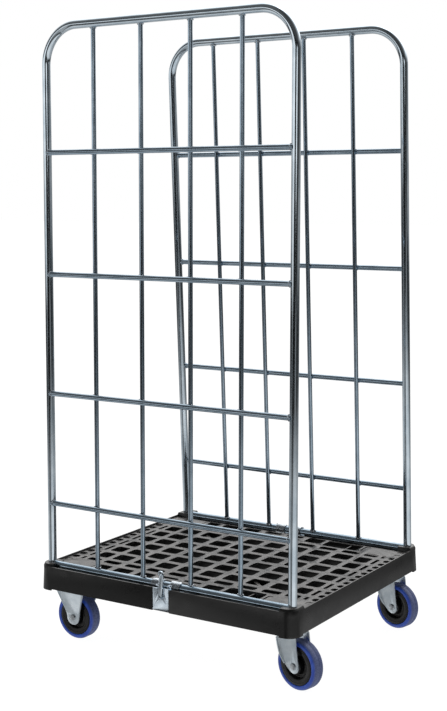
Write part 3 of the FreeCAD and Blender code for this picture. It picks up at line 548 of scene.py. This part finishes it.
for side in sides:
    stand = panel_frame(side)
    hoop_low, hoop_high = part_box(f"{side}_hoop")
    half = (hoop_high.x - hoop_low.x) / 2 - post_radius
    foot = (hoop_low.z - stand.translation.z) / stand[2][2]
    top = (hoop_high.z - stand.translation.z - post_radius) / stand[2][2]
    columns = [panel_place(stand, f"{side}_upright_{n}").x for n in (1, 2, 3, 4)]
    rows = [panel_place(stand, f"{side}_crossbar_{n}").z for n in (1, 2, 3, 4)]

    # Hoop: up one post, round two bends and down the other
    path = [Vector((-half, 0, foot + foot_rise)), Vector((-half, 0, top - bend_radius))]
    for quarter, middle in ((0, -half + bend_radius), (1, half - bend_radius)):
        for step in range(0 if quarter else 1, bend_steps + 1):
            angle = math.radians(180 - 90 * quarter - 90 * step / bend_steps)
            path.append(Vector((middle + bend_radius * math.cos(angle), 0,
                                top - bend_radius + bend_radius * math.sin(angle))))
    path.append(Vector((half, 0, foot + foot_rise)))
    panel_tube(side, "hoop_tube", path, post_radius, 40, hoop_zinc, "hoop")

    # Rail, uprights and crossbars, each running a little way into what it is welded to
    reach = half - bar_bite
    path = straight(Vector((-reach, 0, 0)), Vector((reach, 0, 0)))
    panel_tube(side, "rail_tube", path, post_radius, 28, bar_zinc_painted_darker, "bottom_rail")
    for number, x in enumerate(columns, 1):
        path = straight(Vector((x, upright_in, upright_bite)),
                        Vector((x, upright_in, top - upright_bite)))
        panel_tube(side, f"upright_tube_{number}", path, upright_radius, 28, bar_zinc_painted_darker,
                   f"upright_{number}")
    for number, z in enumerate(rows, 1):
        path = straight(Vector((-reach, -crossbar_out, z)), Vector((reach, -crossbar_out, z)))
        panel_tube(side, f"crossbar_tube_{number}", path, crossbar_radius, 28, bar_zinc_painted_darker,
                   f"crossbar_{number}")

    # Welds: a ring of drops at each foot and end, and four at each crossing
    drops = []
    for x in columns:
        for z, sign in ((foot_weld_height, 1), (top - foot_weld_height, -1)):
            for angle in ring_of(7):
                angle += x * 40
                drops.append((Vector((x + foot_weld[0] * math.cos(angle),
                                      upright_in + foot_weld[1] * math.sin(angle),
                                      z + sign * foot_weld_wave * (1 + math.cos(2 * angle)))), 1.0))
        for z in rows:
            for sx in (-1, 1):
                for sz in (-1, 1):
                    drops.append((Vector((x + sx * crossing_weld, crossing_depth,
                                          z + sz * crossing_weld)), 0.85))
    for sx in (-1, 1):
        for z in rows:
            for angle in ring_of(7):
                drops.append((Vector((sx * (half - end_weld_depth),
                                      -crossbar_out + end_weld * math.cos(angle),
                                      z + end_weld * math.sin(angle))), 0.8))
        for angle in ring_of(10):
            wrap = rail_weld_wrap * abs(math.cos(angle))
            drops.append((Vector((sx * (half - post_radius + wrap), rail_weld * math.cos(angle),
                                  rail_weld * math.sin(angle))), 0.9))
    welds = grown(f"{side}_weld_beads", [stand @ p for p, _ in drops], [], bead_tree,
                  {"Radius": bead_radius, "Seed": 4, "Material": weld_zinc}, [s for _, s in drops])
    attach(welds, f"{side}_panel")

# ------------------------------------------------------------------ collars on the bottom rails
# Two short collars of zinc-plated spring wire, wound tight on each bottom rail where the latch
# grips it.

wire_zinc = zinc("zinc_plated_spring_wire", ("#dde2e6", "#a9b1b8", "#7d848b"), 8.0, (0.20, 0.34))

inner_end = 0.010
wire = 0.0019
coil_radius = 0.0131
turn_steps = 24
for side in sides:
    stand = panel_frame(side)
    low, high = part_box(f"{side}_rail_coils")
    middle = panel_place(stand, f"{side}_rail_coils")
    span = (high.x - low.x) / 2
    turns = round((span - inner_end) / (2 * wire))
    pitch = (span - inner_end) / turns
    for end, sign in (("left", -1), ("right", 1)):
        points = []
        steps = turn_steps * (turns - 1)
        for step in range(steps + 1):
            angle = 2 * math.pi * step / turn_steps
            x = middle.x + sign * (inner_end + pitch * (0.5 + step / turn_steps))
            points.append(stand @ Vector((x, coil_radius * math.sin(angle),
                                          coil_radius * math.cos(angle))))
        collar = grown(f"{side}_rail_collar_{end}", points, [(i, i + 1) for i in range(steps)], tube_tree,
                       {"Radius": wire, "Sides": 12, "Material": wire_zinc})
        smooth(collar, 50)
        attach(collar, f"{side}_panel")
        if end == "left":
            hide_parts(f"{side}_rail_coils")

# ------------------------------------------------------------------ floor, light and camera
# A plain white floor in a white surround. What the metal mirrors is a dimmer room of pale walls and
# tall lamps, with dark gaps between them.

floor_mesh = bpy.data.meshes.new("floor")
floor_mesh.from_pydata([(-30, -30, 0), (30, -30, 0), (30, 30, 0), (-30, 30, 0)], [], [(0, 1, 2, 3)])
floor = bpy.data.objects.new("floor", floor_mesh)
bpy.context.scene.collection.objects.link(floor)
white, tree, output, place = new_material("white_floor")
glow = add(tree, "ShaderNodeEmission", {"Color": (1, 1, 1, 1), "Strength": 1.10})
matt = add(tree, "ShaderNodeBsdfDiffuse", {"Color": (0.9, 0.9, 0.9, 1)})
both = add(tree, "ShaderNodeMixShader", {"Fac": 0.12, 1: glow.outputs[0], 2: matt.outputs[0]})
tree.links.new(both.outputs[0], output.inputs[0])
floor_mesh.materials.append(white)
floor.visible_glossy = False

world = bpy.data.worlds.new("studio")
bpy.context.scene.world = world
world.use_nodes = True
tree = world.node_tree
tree.nodes.clear()
facing = add(tree, "ShaderNodeTexCoord").outputs["Generated"]
direction = add(tree, "ShaderNodeSeparateXYZ", {"Vector": facing}).outputs
forward = add(tree, "ShaderNodeMath", {0: direction["Y"], 1: -1.0}, operation="MULTIPLY").outputs[0]
bearing = add(tree, "ShaderNodeMath", {0: direction["X"], 1: forward}, operation="ARCTAN2").outputs[0]
around = add(tree, "ShaderNodeMapRange", {
    "Value": bearing, "From Min": -math.pi, "From Max": math.pi}).outputs[0]

# Brightness of the surround at each degree round from the front, in rings from low to high. Each
# ring takes over from the one below between its two heights, in degrees above eye level.
rings = (
    (None, ((-180, 0.5), (-120, 0.5), (-70, 0.75), (-52, 0.75), (-44, 0.08), (-38, 0.08),
            (-35, 0.42), (-28, 0.42), (-18, 0.5), (-12, 0.10), (8, 0.12), (18, 0.9), (95, 0.85),
            (110, 0.5), (180, 0.45))),
    ((-13, -8), ((-180, 0.4), (-120, 0.3), (-90, 0.08), (-70, 0.02), (-38, 0.02), (-36, 0.45),
                 (-31, 0.45), (-28, 0.01), (40, 0.01), (50, 0.30), (64, 0.20), (74, 0.01),
                 (110, 0.02), (150, 0.10), (180, 0.35))),
    ((-4, -2), ((-180, 0.35), (-120, 0.5), (-60, 0.3), (-54, 0.9), (-18, 0.9), (-12, 0.02), (80, 0.02),
                (90, 0.30), (150, 0.35), (180, 0.35))),
    ((1, 3), ((-180, 0.85), (-120, 0.95), (-70, 0.8), (-40, 1.2), (-12, 1.2), (-6, 0.02), (22, 0.02),
              (30, 1.2), (46, 1.2), (56, 0.04), (110, 0.08), (150, 0.4), (180, 0.85))),
    ((8, 10), ((-180, 0.95), (-110, 0.7), (-70, 0.02), (60, 0.02), (110, 0.2), (180, 0.95))),
    ((15, 21), ((-180, 2.8), (-110, 1.0), (-70, 0.14), (-20, 0.12), (0, 0.06), (70, 0.08), (110, 0.5),
                (180, 2.8))),
)
seen = None
for heights, stops in rings:
    ring = add(tree, "ShaderNodeValToRGB", {"Fac": around})
    marks = ring.color_ramp.elements
    for degrees, _ in stops[1:-1]:
        marks.new((degrees + 180) / 360)
    for mark, (_, value) in zip(marks, stops):
        mark.color = (value, value, value, 1)
    if heights:
        low, high = (math.sin(math.radians(degrees)) for degrees in heights)
        share = add(tree, "ShaderNodeMapRange", {
            "Value": direction["Z"], "From Min": low, "From Max": high}).outputs[0]
        seen = add(tree, "ShaderNodeMix", {0: share, 6: seen, 7: ring.outputs[0]},
                   data_type="RGBA").outputs[2]
    else:
        seen = ring.outputs[0]
rays = add(tree, "ShaderNodeLightPath").outputs["Is Camera Ray"]
colour = add(tree, "ShaderNodeMix", {0: rays, 6: seen, 7: (1, 1, 1, 1)},
             data_type="RGBA").outputs[2]
sky = add(tree, "ShaderNodeBackground", {"Color": colour, "Strength": 1.0})
add(tree, "ShaderNodeOutputWorld", {"Surface": sky.outputs[0]})

softbox = bpy.data.objects.new("overhead_softbox", bpy.data.lights.new("overhead_softbox", "AREA"))
softbox.data.shape = "DISK"
softbox.data.size = 4.0
softbox.data.energy = 130.0
softbox.location = (-0.6, -1.2, 4.0)
softbox.rotation_euler = (Vector((0, 0, 0.6)) - softbox.location).to_track_quat("-Z", "Y").to_euler()
softbox.visible_glossy = False
bpy.context.scene.collection.objects.link(softbox)

camera = bpy.data.objects.new("camera", bpy.data.cameras.new("camera"))
camera.data.sensor_fit = "VERTICAL"
camera.data.sensor_height = 36.0
camera.data.lens = 68.07
camera.data.clip_end = 200.0
side_angle, down_angle, roll = (math.radians(v) for v in (33.113, 7.41, -0.451))
back = Vector((math.sin(side_angle) * math.cos(down_angle), -math.cos(side_angle) * math.cos(down_angle),
               math.sin(down_angle)))
right = Vector((0, 0, 1)).cross(back).normalized()
up = back.cross(right)
level_right = right * math.cos(roll) + up * math.sin(roll)
level_up = up * math.cos(roll) - right * math.sin(roll)
camera.matrix_world = (Matrix.Translation((1.93608, -3.0386, 1.2397))
                       @ Matrix((level_right, level_up, back)).transposed().to_4x4())
bpy.context.scene.collection.objects.link(camera)
bpy.context.scene.camera = camera
bpy.context.scene.view_settings.view_transform = "Standard"
